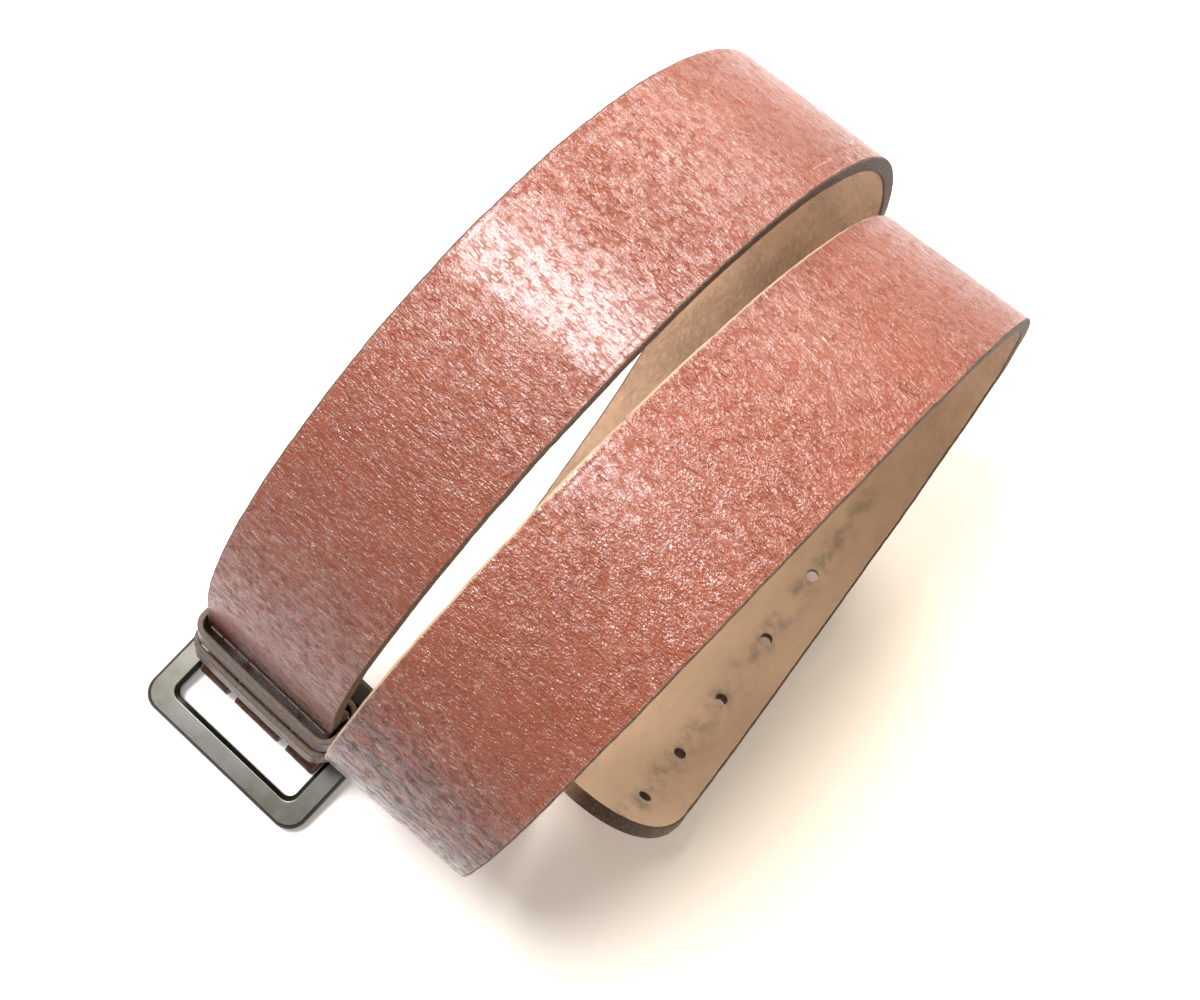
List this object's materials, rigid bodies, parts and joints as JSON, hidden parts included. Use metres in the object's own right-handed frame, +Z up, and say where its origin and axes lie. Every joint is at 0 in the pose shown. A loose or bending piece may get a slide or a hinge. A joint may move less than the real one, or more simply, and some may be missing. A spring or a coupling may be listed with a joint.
{
  "type": "leather belt",
  "caption": "Leather belt lying coiled on its edge, with a rectangular centre-bar buckle, folded-up prongs, a fixed and a sliding keeper, and punched rows of holes.",
  "frame": {"origin": "centre of the coil's footprint, on the surface it lies on", "axes": "+X is the long way across the coil, away from the buckle; +Y is across the strap, towards the buckle end's outer edge; +Z is up"},
  "size_m": [0.2238, 0.138, 0.1677],
  "materials": {
    "strap_leather": "semi-gloss grained",
    "keeper_leather": "semi-gloss",
    "thread": "waxed",
    "staple_wire": "satin",
    "buckle_metal": "satin gunmetal",
    "bar_metal": "satin",
    "prong_metal": "satin"
  },
  "bodies": {
    "strap_body": {"strap": "strap_leather", "fold_stitching": "thread", "keeper_fixed": "keeper_leather", "keeper_fixed_staple": "staple_wire"},
    "buckle": {"buckle_frame": "buckle_metal", "centre_bar": "bar_metal"},
    "prong_left_body": {"prong_left": "prong_metal"},
    "prong_right_body": {"prong_right": "prong_metal"},
    "slider": {"keeper_sliding": "keeper_leather", "keeper_sliding_staple": "staple_wire"}
  },
  "joints": [
    {"name": "buckle_hinge", "type": "hinge", "parent": "strap_body", "child": "buckle", "pos_m": [-0.08886, 0.03911, 0.00646], "axis": [0, 1, 0], "range_deg": [-2, 19]},
    {"name": "prong_left_hinge", "type": "hinge", "parent": "strap_body", "child": "prong_left_body", "pos_m": [-0.08886, 0.03911, 0.00646], "axis": [0, -1, 0], "range_deg": [0, 51]},
    {"name": "prong_right_hinge", "type": "hinge", "parent": "strap_body", "child": "prong_right_body", "pos_m": [-0.08886, 0.03911, 0.00646], "axis": [0, -1, 0], "range_deg": [0, 51]},
    {"name": "keeper_slide", "type": "slide", "parent": "strap_body", "child": "slider", "axis": [0.0872, 0, 0.9962], "range_m": [0, 0.025]}
  ]
}
